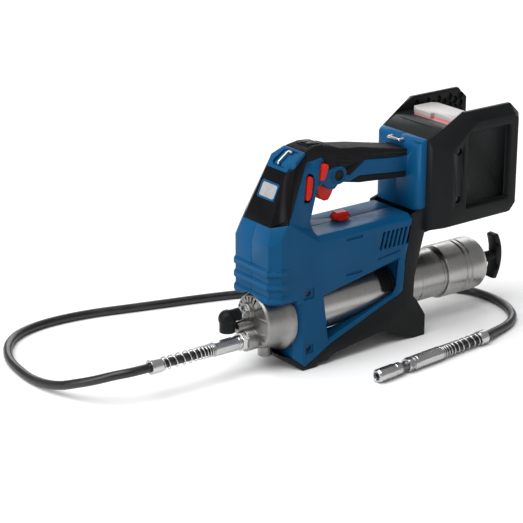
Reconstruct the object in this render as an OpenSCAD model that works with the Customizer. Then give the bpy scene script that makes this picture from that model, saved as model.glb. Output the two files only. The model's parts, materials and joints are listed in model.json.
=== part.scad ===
// Cordless grease gun with a flexible hose, as an assembly of separate pieces.
// Millimetres, +Z up. The feet stand on z = 0, the barrel lies along X and the pump head is at -X.

/* [Housing] */
// Width across the flat sides of the housing
body_w = 76; // [74:1:92]
// Length from the nose to the back of the rear column
body_l = 215; // [205:1:262]
// Thickness of the moulded walls
wall = 2.6; // [2:0.1:3.2]
// Width of the handle
grip_w = 34; // [30:1:41]
// Height of the battery bay above the deck
bay_rise = 94; // [84:1:104]

/* [Barrel] */
// Outer diameter of the grease barrel
barrel_d = 57; // [53:0.5:57]
// Thickness of the barrel tube
barrel_wall = 1.5; // [1:0.1:2.5]
// Length of the barrel from its socket to its rear face
barrel_l = 308; // [296:1:370]
// Diameter of the follower rod
rod_d = 8; // [6:0.5:10]

/* [Drive] */
// Tooth module of the planetary gears
gear_module = 0.9; // [0.75:0.01:0.95]
// Diameter of the pump plunger
plunger_d = 11; // [9:0.5:11]
// Crank throw, half of the plunger stroke
crank_throw = 5; // [4:0.5:6]
// Outer diameter of the motor
motor_d = 46; // [38:1:48]
// Diameter of the motor shaft
shaft_d = 5; // [4:0.5:6]

/* [Battery] */
// Thickness of the battery pack behind its rails
pack_t = 33; // [30:1:40]
// Height of the battery pack
pack_h = 117; // [112:1:120]

/* [Hose] */
// Outer diameter of the hose
hose_d = 10; // [8:0.5:10]
// Outer diameter of the hose ferrules
ferrule_d = 16.4; // [14:0.1:16.4]
// Wire diameter of the spring guards
guard_wire = 1.4; // [1:0.1:1.6]

/* [Fits] */
// Radial play of a turning or sliding fit
play = 0.05; // [0.03:0.01:0.08]
// Gap between pieces that move past each other
gap = 0.5; // [0.4:0.1:0.8]

/* [Hidden] */
$fn = 48;
big = 500;
eps = 0.01;

// Heights and stations along X
hw = body_w / 2;
axis_z = 56.5;
deck_z = 150;
nose_x = 15;
nose_z = 84;
back_x = nose_x + body_l;
leg_x = 49;
bay_z = deck_z + bay_rise;
grip_hw = grip_w / 2;
drive_z = 120.5;
barrel_r = barrel_d / 2;
barrel_x0 = 36;
barrel_x1 = barrel_x0 + barrel_l;
handle_back = barrel_x1 + 40;
outlet_z = 36.5;
valve_y = 8;
valve_z = 66;
// Radii of the pump head: its bell, its mounting flange, its lower plug boss and its outlet bore
bell_r = 33;
flange_r = 38.8;
plug_r = 8;
outlet_bore_r = 5;
elbow_x = -12;
elbow_r = 10;
wing_y = 41.5 + (hw - 38);
wing_mid = wing_y + 4.5;
bumper_y = wing_y + 13.5;
rail_x = back_x + 44;
mid_x = (elbow_x - elbow_r + handle_back) / 2;

// Colours
blue = [0.04, 0.22, 0.42];
black = [0.09, 0.09, 0.1];
soft_black = [0.13, 0.13, 0.14];
red = [0.85, 0.13, 0.08];
steel = [0.72, 0.72, 0.72];
brass = [0.8, 0.6, 0.25];
clear = [0.85, 0.87, 0.85];

// ---------- outline functions ----------
function unit(v) = v / norm(v);
function inward(a, b) = let (d = unit(b - a)) [-d[1], d[0]];
function inset_point(p, q, r, d) =
    let (n1 = inward(p, q), n2 = inward(q, r)) q + (n1 + n2) * d / (1 + n1 * n2);
// A counter-clockwise outline moved inwards by d
function inset(pts, d) = let (n = len(pts))
    [for (i = [0:n - 1]) inset_point(pts[(i + n - 1) % n], pts[i], pts[(i + 1) % n], d)];
function arc(cx, cz, r, a0, a1, n) =
    [for (i = [0:n]) let (a = a0 + (a1 - a0) * i / n) [cx + r * cos(a), cz + r * sin(a)]];
function reversed(pts) = [for (i = [len(pts) - 1:-1:0]) pts[i]];
function mirrored(pts) = concat(pts, [for (p = reversed(pts)) [-p[0], p[1]]]);

// ---------- building helpers ----------
module place() translate([-mid_x, 0, 0]) children();
// An outline in X and Z, from y0 to y1
module side_slab(pts, y0, y1)
    translate([0, y1, 0]) rotate([90, 0, 0]) linear_extrude(y1 - y0) polygon(pts);
// An outline in Y and Z, from x0 to x1
module front_slab(pts, x0, x1)
    translate([x0, 0, 0]) rotate([90, 0, 90]) linear_extrude(x1 - x0) polygon(pts);
// An outline in X and Y, from z0 to z1
module plan_slab(pts, z0, z1) translate([0, 0, z0]) linear_extrude(z1 - z0) polygon(pts);
module x_rod(x0, x1, r, y = 0, z = axis_z)
    translate([x0, y, z]) rotate([0, 90, 0]) cylinder(h = x1 - x0, r = r);
module y_rod(y0, y1, r, x, z)
    translate([x, y1, z]) rotate([90, 0, 0]) cylinder(h = y1 - y0, r = r);
module x_tube(x0, x1, r_out, r_in, y = 0, z = axis_z) difference() {
    x_rod(x0, x1, r_out, y, z);
    x_rod(x0 - 1, x1 + 1, r_in, y, z);
}
// A profile of [radius, x] turned about the barrel axis
module x_lathe(pts, z = axis_z)
    translate([0, 0, z]) rotate([0, 90, 0]) rotate_extrude() polygon(pts);
module box(x0, x1, y0, y1, z0, z1) translate([x0, y0, z0]) cube([x1 - x0, y1 - y0, z1 - z0]);
module both_sides() {
    children();
    mirror([0, 1, 0]) children();
}
module left_half() intersection() {
    children();
    box(-big, big, -big, 0, -big, big);
}
module right_half() intersection() {
    children();
    box(-big, big, 0, big, -big, big);
}
// Everything on the side of a plane that its normal n points to
module beyond(p, n) translate(p) rotate([0, acos(n[2] / norm(n)), atan2(n[1], n[0])])
    translate([-big / 2, -big / 2, 0]) cube([big, big, big / 4]);

// ---------- outlines ----------
// Lower housing with its front leg, counter-clockwise
lower_outline = [[leg_x, 14], [leg_x + 11, 4], [leg_x + 31, 15], [leg_x + 48, 24], [back_x - 37, 58],
    [back_x - 30, 62], [back_x - 28, 95], [back_x - 24, 120], [back_x - 18, deck_z],
    [nose_x, deck_z], [nose_x, nose_z], [leg_x, nose_z]];
lower_section = mirrored([[hw, -1], [hw, deck_z - 4.5], [hw - 8, deck_z]]);
nose_flat = hw - 8;
nose_plan = [[nose_x, nose_flat], [nose_x, -nose_flat], [nose_x + 12, -hw], [big, -hw], [big, hw],
    [nose_x + 12, hw]];
leg_plan = [[leg_x, nose_flat], [leg_x, -nose_flat], [leg_x + 8, -hw], [big, -hw], [big, hw],
    [leg_x + 8, hw]];

// Tower that carries the lamp panel
tower_outline = [[nose_x, deck_z - 8], [92, deck_z - 8], [79, deck_z + 3], [73, deck_z + 18],
    [82, deck_z + 42], [97, deck_z + 83], [100, deck_z + 95.8], [88, deck_z + 96.5], [72, deck_z + 92.5],
    [54, deck_z + 83], [48.4, deck_z + 75], [21.5, deck_z + 19.5], [nose_x, deck_z + 2]];
// Planes that slope the tower's sides, as a point and a normal: front bevel, side, rear side and ramp
bevel_plane = [[21.5, 6 - nose_flat, deck_z + 19.5], [-0.7, -0.59, 0.41]];
side_plane = [[36, -hw, deck_z + 24], [0.13, -0.97, 0.21]];
rear_plane = [[79, 11 - hw, deck_z + 20], [0.23, -0.97, 0.02]];
ramp_plane = [[79, -hw, deck_z - 5], [0.44, -0.63, 0.64]];
panel_outline = [[nose_x - 9, deck_z + 19.5], [22, deck_z + 19.5], [37, deck_z + 23.5],
    [73, deck_z + 82], [73, deck_z + 90], [46, deck_z + 73], [40, deck_z + 80]];
cap_outline = [[46, deck_z + 73], [73, deck_z + 90], [73, deck_z + 104], [40, deck_z + 104],
    [40, deck_z + 80]];

// Rear column, handle arm and grip cover
col_front = back_x - 12;
// The column stands on the lower frame, whose top slopes from the deck up to the column's foot
column_foot = deck_z + 5;
function column_outline(foot) = [[back_x, foot], [back_x, deck_z + 84.3], [back_x - 4, deck_z + 83.5],
    [back_x - 9, deck_z + 80.5], [col_front, deck_z + 76], [col_front, foot - 10 / 3]];
function column_plan(i) = concat([[back_x + (i > 0 ? 20 : 0), -hw + i]],
    [[back_x + (i > 0 ? 20 : 0), hw - i]],
    arc(col_front + 10, hw - 10, 10 - i, 90, 180, 4), arc(col_front + 10, 10 - hw, 10 - i, 180, 270, 4));
arm_outline = [[99, deck_z + 52], [106, deck_z + 45], [115, deck_z + 43], [122, deck_z + 49],
    [137, deck_z + 48], [150, deck_z + 52], [back_x - 25, deck_z + 46], [col_front + 4, deck_z + 45],
    [col_front + 4, deck_z + 64], [back_x - 25, deck_z + 63.5], [158, deck_z + 69],
    [137, deck_z + 55.5], [130, deck_z + 57], [126, deck_z + 64], [118, deck_z + 69],
    [104, deck_z + 66], [98, deck_z + 83], [88, deck_z + 66], [88, deck_z + 50]];
grip_back = back_x - 24;
cover_t = 3.2;
core_outline = [[90, deck_z + 66], [99, deck_z + 57], [137, deck_z + 50], [150, deck_z + 55],
    [col_front + 4, deck_z + 54], [col_front + 4, deck_z + 67], [back_x - 31, deck_z + 71],
    [154, deck_z + 79], [124, deck_z + 84], [108, deck_z + 90], [90, deck_z + 93]];
grip_top = [[col_front + 3, deck_z + 70], [back_x - 31, deck_z + 74.5], [154, deck_z + 83.5],
    [124, deck_z + 88], [108, deck_z + 94], [98, deck_z + 97], [88, deck_z + 97.3],
    [73, deck_z + 93.6]];
cover_outline = concat([[73, deck_z + 81.5], [98, deck_z + 83], [104, deck_z + 66],
    [118, deck_z + 69], [126, deck_z + 64], [130, deck_z + 57], [137, deck_z + 55.5],
    [158, deck_z + 69], [grip_back, deck_z + 63.5], [col_front + 3, deck_z + 64]], grip_top);
under_outline = [[128, deck_z + 48.6], [150, deck_z + 44], [grip_back, deck_z + 39],
    [col_front, deck_z + 38], [col_front, deck_z + 45.1], [grip_back + 1, deck_z + 46],
    [150, deck_z + 52], [137, deck_z + 48]];
grip_round = 9;
grip_section = concat(arc(grip_hw - grip_round, -grip_round, grip_round, 0, 90, 4),
    arc(grip_round - grip_hw, -grip_round, grip_round, 90, 180, 4),
    arc(grip_round - grip_hw, grip_round - 62, grip_round, 180, 270, 4),
    arc(grip_hw - grip_round, grip_round - 62, grip_round, 270, 360, 4));
grip_slope = 10;

// Side window, lower frame and battery bay
window_outline = [[leg_x + 47, 33], [back_x - 47, 62], [back_x - 42, 70], [back_x - 40, 97],
    [leg_x + 41, 79], [leg_x + 44, 56]];
frame_outline = concat([[leg_x - 11, 17], [leg_x + 8, 0], [leg_x + 28, 0], [leg_x + 29, 4],
    [leg_x + 43, 4], [leg_x + 51, 10], [back_x - 55, 20], [back_x - 25, 5], [back_x - 13, 0],
    [back_x + 6, 0], [back_x + 8, 8], [back_x + 8, 20], [back_x - 8, 45], [back_x - 14, 52],
    [back_x - 13, 75], [back_x - 5, 108], [back_x - 1, 122], [back_x, 125], [back_x, column_foot],
    [back_x - 18, deck_z]], [for (i = [7:-1:0]) lower_outline[i]]);
bay_outline = [[back_x, 125], [back_x + 22, 128], [back_x + 80, 128], [back_x + 80, 132],
    [rail_x, 132], [rail_x, bay_z], [back_x + 18, bay_z - 0.4], [back_x, deck_z + 84.3]];
wing_outline = [[back_x + 22, 128], [back_x + 118, 128], [back_x + 131, 140],
    [back_x + 131, bay_z + 2], [back_x + 117, bay_z + 15.4], [back_x + 47, bay_z + 15.4],
    [back_x + 25, bay_z - 3], [back_x + 8, bay_z - 12], [back_x + 2, bay_z - 20], [back_x + 2, 130]];
wing_root = [[back_x + 24, 128], [back_x + 48, 128], [back_x + 48, bay_z + 2],
    [back_x + 18, bay_z - 2], [back_x, bay_z - 10], [back_x, 127]];
bumper_face = [[back_x + 30, 133], [back_x + 115, 133], [back_x + 123, 142],
    [back_x + 123, bay_z - 2], [back_x + 116, bay_z + 5], [back_x + 60, bay_z + 5],
    [back_x + 43, bay_z - 8], [back_x + 22, bay_z - 24], [back_x + 22, 140]];
recess_outline = [[back_x + 46, 149], [back_x + 110, 149], [back_x + 112, 152],
    [back_x + 112, bay_z - 9], [back_x + 109, bay_z - 6], [back_x + 49, bay_z - 6],
    [back_x + 46, bay_z - 9]];
recess_depth = 6;

// Screws that hold the housing halves, as [x, z]
left_screws = [[leg_x + 16, 89], [leg_x + 17, 24]];
right_screws = [[back_x - 34, 103], [back_x - 6, deck_z + 20], [62, deck_z + 28]];
screw_post_r = 4.6;
// The control board stands just above the screw post in the column
board_z = right_screws[1][1] + screw_post_r + 1.4;
bumper_screw_z = [162, 218];
bumper_screw_x = back_x + 33;

// Gear train: sun, three planets and a fixed ring
sun_teeth = 12;
planet_teeth = 18;
ring_teeth = sun_teeth + 2 * planet_teeth;
planet_orbit = gear_module * (sun_teeth + planet_teeth) / 2;
ring_r = gear_module * ring_teeth / 2 + 2.7;
tooth_up = 0.7 * gear_module;
tooth_down = 1.05 * gear_module;
backlash = 0.28 * gear_module;
// Tooth outline points for one gear, as [y, z]; up and down are measured from the pitch circle
function tooth(z, i, phase, up, down, slack) = let (r = gear_module * z / 2,
    half = 90 / z - slack / (4 * r) * 57.3, lean = tan(20) * 57.3 / r, a = 360 * i / z + phase)
    [for (s = [[-1, -down], [-1, up], [1, up], [1, -down]])
        let (t = a + s[0] * (half - lean * s[1])) (r + s[1]) * [cos(t), sin(t)]];
function gear(z, phase, up, down, slack) =
    [for (i = [0:z - 1], p = tooth(z, i, phase, up, down, slack)) p];

// Stations of the drive along X
crank_x0 = 37;
crank_x1 = 43;
case_x0 = 49;
carrier_x0 = 58;
gear_x0 = 64;
gear_x1 = 73;
case_x1 = 80;
can_x1 = case_x1 + 72;
fan_x0 = can_x1 + 4;
shaft_x1 = fan_x0 + 12;
shaft_r = shaft_d / 2;
motor_r = motor_d / 2;
crank_pin_r = 3;
plunger_x = 30;
plunger_r = plunger_d / 2;
yoke_hy = crank_throw + crank_pin_r + gap;
yoke_hz = 2 * crank_throw + crank_pin_r + gap;

// Hose route: straight out of the near ferrule, down to the ground, round behind, to the coupler
route = [[-38, 0, 36.5], [-78, 0, 36.5], [-119, 0, 36.5], [-140, 1, 36.5], [-157, 9, 34],
    [-172, 25, 27], [-183, 43, 20], [-191, 64, 12.5], [-196, 88, 7.5], [-198, 116, 5],
    [-196, 146, 5], [-191, 171, 5], [-182, 193, 5], [-169, 213, 5], [-151, 229, 5], [-128, 239, 5],
    [-103, 243, 5], [-72, 242, 5], [-38, 236, 5], [0, 225, 5], [42, 213, 5], [84, 201, 5],
    [126, 187, 5], [175, 166, 5], [225, 140, 5], [272, 111, 5], [314, 81, 5], [346, 52, 5],
    [364, 25, 5], [369, -2, 5], [367, -26, 5], [360, -47, 5], [348, -65, 5], [331, -78, 5],
    [312, -86, 5.5], [293, -92, 6.8], [272, -98, 8.2], [235, -101, 8.2], [197, -104, 8.2]];
hose_r = hose_d / 2;
ferrule_r = ferrule_d / 2;
guard_r = ferrule_r - 0.6 - guard_wire / 2;
collar_x = -105;
collar_l = 14;
far_p = route[len(route) - 1];
far_q = route[len(route) - 3];
far_turn = atan2(far_p[1] - far_q[1], far_p[0] - far_q[0]);
far_l = norm(far_p - far_q);

// ---------- swept tubes ----------
function catmull(p, q, r, s, t) = 0.5 * (2 * q + (r - p) * t + (2 * p - 5 * q + 4 * r - s) * t * t
    + (3 * q - p - 3 * r + s) * t * t * t);
function smooth_path(pts, n) = let (m = len(pts) - 1) concat([for (i = [0:m - 1], k = [0:n - 1])
    catmull(pts[max(i - 1, 0)], pts[i], pts[i + 1], pts[min(i + 2, m)], k / n)], [pts[m]]);
function direction(path, i) =
    unit(path[min(i + 1, len(path) - 1)] - path[max(i - 1, 0)]);
function ring_at(p, d, up, r, sides) = let (u = unit(cross(up, d)), v = cross(d, u))
    [for (k = [0:sides - 1]) p + r * (u * cos(360 * k / sides) + v * sin(360 * k / sides))];
module sweep(path, r, sides, up = [0, 0, 1]) {
    n = len(path);
    rings = [for (i = [0:n - 1], q = ring_at(path[i], direction(path, i), up, r, sides)) q];
    walls = [for (i = [0:n - 2], k = [0:sides - 1])
        let (a = i * sides + k, b = i * sides + (k + 1) % sides)
        each [[a, b, b + sides], [a, b + sides, a + sides]]];
    caps = [[for (k = [sides - 1:-1:0]) k], [for (k = [0:sides - 1]) (n - 1) * sides + k]];
    polyhedron(rings, [for (f = concat(walls, caps)) reversed(f)]);
}
// A round-wire spring about the X axis at y = 0, z = 0
module x_spring(x0, x1, r, wire_r, turns, sides = 6, steps = 12) {
    n = turns * steps;
    path = [for (i = [0:n]) let (a = 360 * i / steps)
        [x0 + wire_r + (x1 - x0 - 2 * wire_r) * i / n, r * cos(a), r * sin(a)]];
    sweep(path, wire_r, sides, [1, 0, 0]);
}

// ---------- housing ----------
// Outer form of the lower housing, or with i > 0 the form of its cavity
module lower_form(i = 0) intersection() {
    side_slab(inset(lower_outline, i), -hw + i, hw - i);
    front_slab(inset(lower_section, i), 0, back_x + 20);
    union() {
        plan_slab(inset(nose_plan, i), nose_z - 4 + i, big);
        plan_slab(inset(leg_plan, i), -1, nose_z + i);
    }
}
module tower_part(i, planes) difference() {
    intersection() {
        side_slab(inset(tower_outline, i), -hw + i, hw - i);
        union() {
            plan_slab(inset(nose_plan, i), deck_z - 20, deck_z + 17);
            box(0, 130, -hw, hw, deck_z + 17 - eps, deck_z + 110);
        }
    }
    both_sides() for (q = planes) beyond(q[0] - i * unit(q[1]), q[1]);
}
module tower_form(i = 0) {
    tower_part(i, [bevel_plane, side_plane, rear_plane]);
    tower_part(i, [bevel_plane, side_plane, ramp_plane]);
}
module column_form(i = 0) intersection() {
    side_slab(inset(column_outline(column_foot - (i > 0 ? 20 : 0)), i), -hw, hw);
    plan_slab(column_plan(i), deck_z - 30, deck_z + 90);
}
// Handle section of half width grip_hw, turned to the slope of the handle
module grip_form(i = 0) translate([73, 0, deck_z + 100]) rotate([0, grip_slope, 0])
    front_slab(inset(grip_section, i), -30, back_x);
module arm_form(i = 0) side_slab(inset(arm_outline, i), -grip_hw + i, grip_hw - i);
// Stiff core of the handle, inside the soft cover
module core_form(i = 0)
    side_slab(inset(core_outline, i), -grip_hw + cover_t + i, grip_hw - cover_t - i);
module nose_ribs() for (k = [0:2]) let (z = nose_z + 1 + 15.5 * k) {
    plan_slab(rib_plan(2.4), z + 1.5, z + 7);
    plan_slab(rib_plan(1.4), z, z + 8.5);
}
function rib_plan(d) = [[nose_x - d, nose_flat], [nose_x - d, -nose_flat],
    [nose_x + 12 - d / 2, -hw - d * 0.7], [nose_x + 28, -hw], [nose_x + 28, hw],
    [nose_x + 12 - d / 2, hw + d * 0.7]];
// Rows of slots that are cut in the left and right walls
module side_slots() {
    for (z = [99.5, 140.5]) box(leg_x + 68, leg_x + 90, -hw - 3, -hw + 1.6, z - 1.5, z + 1.5);
    for (k = [0:6]) let (x = back_x - 66 + 6.4 * k)
        side_slab([[x, 118], [x + 3.2, 118], [x + 8.4, 138], [x + 5.2, 138]], -hw - 3, -hw + wall + 1);
    side_slab([[back_x - 68, 107], [back_x - 36, 111], [back_x - 36, 113], [back_x - 68, 109]],
        -hw - 3, -hw + 1.2);
    box(leg_x + 9, leg_x + 23, -hw - 3, -hw + 2.2, 83, 95);
    box(leg_x + 12, leg_x + 22, -hw - 3, -hw + 2.2, 19, 29);
}
module window_cut() {
    side_slab(window_outline, -hw - 1, hw + 1);
    both_sides() hull() {
        side_slab(inset(window_outline, -5.5), hw, hw + 1);
        side_slab(window_outline, hw - 5, hw - 4.9);
    }
}
// Both housing halves in one; the two nodes are its left and right halves
module housing_body() difference() {
    union() {
        difference() {
            union() {
                lower_form();
                tower_form();
                column_form();
                arm_form();
                nose_ribs();
            }
            cover_room();
        }
        core_form();
        screw_posts();
    }
    difference() {
        union() {
            lower_form(wall);
            tower_form(wall);
            column_form(wall);
            arm_form(wall);
            core_form(wall);
            box(leg_x + 30, col_front + 3, -hw + 12, hw - 12, deck_z - wall - 1, deck_z - wall + eps);
        }
        screw_posts();
        cover_room();
    }
    // room for the pieces that sit in or pass through the shells
    x_rod(nose_x - 5, leg_x - 10, bell_r + gap);
    x_rod(leg_x - 20, leg_x + eps, flange_r + gap);
    x_rod(leg_x - 5, back_x + 20, barrel_r + gap);
    translate([plunger_x, 0, nose_z - 5]) cylinder(h = 20, r = 12);
    side_slab(panel_outline, -hw, hw);
    side_slab(cap_outline, -hw, hw);
    side_slab(under_outline, -grip_hw, grip_hw);
    window_cut();
    side_slots();
    mirror([0, 1, 0]) side_slots();
    slider_window();
    side_slab(inset(lock_off_outline, -gap), -hw, hw);
    y_rod(-hw, hw, lock_r + gap, lock_x, lock_z);
    trigger_slot();
    knob_hole();
    for (p = left_screws) screw_hole(p);
    mirror([0, 1, 0]) for (p = right_screws) screw_hole(p);
}
// Space that the soft cover fills: the whole tower top, then the width of the handle
module cover_room() {
    intersection() {
        side_slab(cover_outline, -hw, hw);
        box(60, 104, -hw, hw, 0, big);
    }
    difference() {
        side_slab(cover_outline, -grip_hw, grip_hw);
        core_form();
    }
}
module screw_posts() for (p = concat(left_screws, right_screws)) intersection() {
    y_rod(-hw + 2.3, hw - 2.3, screw_post_r, p[0], p[1]);
    union() {
        lower_form(0.5);
        tower_form(0.5);
        column_form(0.5);
    }
}
module screw_hole(p) {
    y_rod(-hw - 5, -hw + 7.4 + screw_in(p), 3.4, p[0], p[1]);
    y_rod(-hw, -hw + 22 + screw_in(p), 1.5, p[0], p[1]);
}
// Depth of a screw below the side plane, more where the tower is narrow
function screw_in(p) = p[1] > deck_z + 25 ? 11 : 0;
module housing_left() color(blue) place() left_half() housing_body();
module housing_right() color(blue) place() right_half() housing_body();

module front_panel() color(black) place() difference() {
    intersection() {
        difference() {
            tower_form();
            tower_form(wall);
        }
        side_slab(panel_outline, -hw, hw);
    }
    lamp_plate(lamp_w, lamp_h, -4, 8);
}
// Frame of the lamp in the tilted front face: u is across, v is up the slope
lamp_p = [37.5, 0, deck_z + 52.5];
lamp_tilt = atan2(26.9, 55.5);
lamp_w = 30;
lamp_h = 20;
module on_face() translate(lamp_p) rotate([0, lamp_tilt, 0]) children();
module lamp_plate(w, h, x0, x1) on_face() translate([0, 0, -h / 2]) hull() {
    box(x0, x1, -w / 2, w / 2, 2, h - 2);
    box(x0, x1, -w / 2 + 2, w / 2 - 2, 0, h);
}
module lamp_bezel() color(blue) place() difference() {
    lamp_plate(lamp_w, lamp_h, -0.8, 3);
    lamp_plate(lamp_w - 4, lamp_h - 4, -4, 8);
}
module lamp_lens() color(clear) place() lamp_plate(lamp_w - 4, lamp_h - 4, -0.3, 1.2);
module lamp_board() color("darkgreen") place() {
    on_face() box(3.2, 4.6, -16, 16, -11.5, 11.5);
    for (y = [-6.5, 6.5]) on_face() translate([1.6, y, 0]) rotate([0, 90, 0]) cylinder(h = 1.6, r = 3);
}
module top_cap() color(blue) place() difference() {
    intersection() {
        difference() {
            tower_form();
            tower_form(wall + 3.4);
        }
        side_slab(cap_outline, -hw, hw);
    }
    strap_recess();
}
cap_turn = 35.5;
cap_p = [61.5, 0, deck_z + 83.4];
module on_cap() translate(cap_p) rotate([0, -cap_turn, 0]) children();
module strap_recess() on_cap() hull() {
    box(-9.5, 9, -12, 12, -3, 20);
    box(-12, 11, -9, 9, -3, 20);
}
strap_r = 1.6;
module front_strap_bar() color(steel) place() on_cap() x_rod(-11.95, 10.95, strap_r, 2, 3.2);
module grip_cover() color(soft_black) place() difference() {
    intersection() {
        union() {
            side_slab(cover_outline, -hw, hw);
            side_slab(under_outline, -grip_hw, grip_hw);
        }
        union() {
            intersection() {
                tower_form();
                side_slab(cover_outline, -hw, hw);
            }
            intersection() {
                grip_form();
                box(92, back_x, -hw, hw, 0, big);
            }
        }
    }
    core_form();
    tower_form(cover_t + 4);
    side_slab(keypad_outline, -keypad_hw, keypad_hw);
    side_slab(inset(lock_off_outline, -gap), -hw, hw);
    y_rod(-hw, hw, 10.3, lock_x, lock_z);
}
keypad_hw = 9.6;
keypad_outline = [[82, deck_z + 95], [103, deck_z + 94.2], [104, deck_z + 110], [82, deck_z + 110]];
module keypad() color(black) place() intersection() {
    side_slab(cover_outline, -keypad_hw + 0.2, keypad_hw - 0.2);
    side_slab(inset(keypad_outline, 0.2), -keypad_hw + 0.2, keypad_hw - 0.2);
}
module rear_strap_bar() color(steel) place() {
    y_rod(-9, 9, strap_r, col_front - 5, deck_z + 80);
    for (y = [-9, 9]) x_rod(col_front - 5, col_front + 1.5, strap_r, y, deck_z + 80);
    for (y = [-9, 9]) translate([col_front - 5, y, deck_z + 80]) sphere(r = strap_r);
}

// ---------- controls ----------
lock_x = 121;
lock_z = deck_z + 58;
lock_r = 6;
trigger_x = 101;
trigger_z = deck_z + 54;
trigger_hw = 8.5;
trigger_pin_r = 2;
trigger_outline = [[98, 206], [97, 200], [99, 188], [102.5, 182.5], [108, 178.8], [114, 179.2],
    [117.5, 184], [120.5, 190], [119.5, 196], [112, 200], [109, 206]];
module trigger_slot() {
    box(95, 123, -trigger_hw - gap, trigger_hw + gap, 170, deck_z + 51);
    box(95, 112, -trigger_hw - gap, trigger_hw + gap, 170, deck_z + 58);
    y_rod(1 - grip_hw, grip_hw - 1, trigger_pin_r + play, trigger_x, trigger_z);
}
module trigger() color(red) place() {
    side_slab(trigger_outline, -trigger_hw, trigger_hw);
    y_rod(1.2 - grip_hw, grip_hw - 1.2, trigger_pin_r, trigger_x, trigger_z);
}
module trigger_switch() color(black) place() {
    box(71, 84, -8, 8, deck_z + 58, deck_z + 78);
    box(84 - eps, 85, -3, 3, deck_z + 60, deck_z + 66);
}
lock_off_outline = [[90.5, 209], [95.5, 208.2], [98, 211], [102, 222], [101, 225.5], [96.5, 226],
    [94, 224]];
lock_off_hy = grip_hw + 6.2;
module lock_off_bolt() color(red) place() side_slab(lock_off_outline, -lock_off_hy, lock_off_hy);
slider_outline = [[66, 193], [70.5, 192], [73.5, 194], [79.5, 211], [78.5, 215.5], [75, 217], [72, 215]];
slider_travel = 2;
module slider_window() side_slab(inset(slider_outline, -slider_travel - gap), -hw, -13);
module side_slider() color(red) place() intersection() {
    side_slab(slider_outline, -hw, -16);
    tower_form(-0.9);
}
module lock_button() color(black) place() y_rod(-grip_hw - 1.2, grip_hw + 1.2, lock_r, lock_x, lock_z);
knob_x = 137;
knob_r = 6;
module knob_hole() translate([knob_x, 0, deck_z - 12]) cylinder(h = 14, r = knob_r + gap);
module mode_knob() color(red) place() {
    translate([knob_x, 0, deck_z - 6]) cylinder(h = 8, r = knob_r);
    translate([knob_x, 0, deck_z - 6]) cylinder(h = 2, r = knob_r + 2.5);
    translate([knob_x, 0, deck_z + 1]) cylinder(h = 3, r = 9.5);
    side_slab([[knob_x - 11, deck_z + 2], [knob_x + 11, deck_z + 2], [knob_x + 11, deck_z + 5],
        [knob_x + 7, deck_z + 9], [knob_x - 7, deck_z + 9.5], [knob_x - 11, deck_z + 6]], -4, 4);
}
module control_board() color("darkgreen") place() {
    box(back_x - 5, back_x - 3.4, -28, 28, board_z, board_z + 46);
    for (k = [0:2]) let (z = board_z + 3 + 14 * k) box(back_x - 8, back_x - 5, -10, 10, z, z + 9);
}

// ---------- motor and gears ----------
module motor_can() color([0.35, 0.36, 0.38]) place() difference() {
    x_rod(case_x1, can_x1, motor_r, 0, drive_z);
    x_rod(case_x1 + 3, can_x1 - 3, motor_r - 2, 0, drive_z);
    x_rod(case_x1 - 1, can_x1 + 1, 8, 0, drive_z);
    for (k = [0:5]) let (a = 60 * k + 30)
        x_rod(case_x1 - 1, can_x1 + 1, 3, 14.5 * cos(a), drive_z + 14.5 * sin(a));
}
module motor_stator() color([0.72, 0.42, 0.2]) place() difference() {
    x_rod(case_x1 + 16, can_x1 - 12, motor_r - 2, 0, drive_z);
    x_rod(case_x1, can_x1, 11.5, 0, drive_z);
    for (k = [0:5]) translate([case_x1, 0, drive_z]) rotate([60 * k, 0, 0]) box(0, 80, 13, 18, -2.5, 2.5);
}
module bearing(x0, x1, r_out, r_in, z) x_tube(x0, x1, r_out, r_in, 0, z);
module motor_bearings() color(steel) place() {
    bearing(case_x1, case_x1 + 5, 8, shaft_r + play, drive_z);
    bearing(can_x1 - 5, can_x1, 8, shaft_r + play, drive_z);
}
module motor_rotor() color([0.5, 0.5, 0.52]) place() {
    x_rod(gear_x0 + 0.5, shaft_x1, shaft_r, 0, drive_z);
    x_rod(case_x1 + 18, can_x1 - 14, 10.8, 0, drive_z);
    translate([gear_x0 + 0.5, 0, drive_z]) rotate([90, 0, 90]) linear_extrude(gear_x1 - gear_x0)
        polygon(gear(sun_teeth, 0, tooth_up, tooth_down, backlash));
}
module cooling_fan() color(black) place() difference() {
    union() {
        x_rod(fan_x0, fan_x0 + 2, 19, 0, drive_z);
        x_rod(fan_x0, fan_x0 + 9, 6, 0, drive_z);
        for (k = [0:8]) translate([fan_x0, 0, drive_z]) rotate([40 * k, 0, 0]) box(0, 8, 5, 18, -0.8, 0.8);
    }
    x_rod(fan_x0 - 1, fan_x0 + 20, shaft_r, 0, drive_z);
}
module gearbox_case() color(steel) place() difference() {
    x_rod(case_x0, case_x1, ring_r + 2.2, 0, drive_z);
    x_rod(case_x0 + 9, case_x1 + 1, ring_r, 0, drive_z);
    x_rod(case_x0 + 2, case_x1, 13, 0, drive_z);
    x_rod(case_x0 - 1, case_x1, 9, 0, drive_z);
}
module ring_gear() color(steel) place() difference() {
    x_rod(gear_x0 - 2, case_x1, ring_r, 0, drive_z);
    translate([gear_x0 - 3, 0, drive_z]) rotate([90, 0, 90]) linear_extrude(40)
        polygon(gear(ring_teeth, 180 / ring_teeth, tooth_down, tooth_up, -backlash));
}
module planet_gear(k) color(steel) place() translate([gear_x0, 0, drive_z]) rotate([120 * k, 0, 0])
    translate([0, planet_orbit, 0]) rotate([90, 0, 90]) difference() {
        linear_extrude(gear_x1 - gear_x0)
            polygon(gear(planet_teeth, 180 / planet_teeth, tooth_up, tooth_down, backlash));
        translate([0, 0, -1]) cylinder(h = 20, r = 2 + play);
    }
module planet_gear_1() planet_gear(0);
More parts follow.
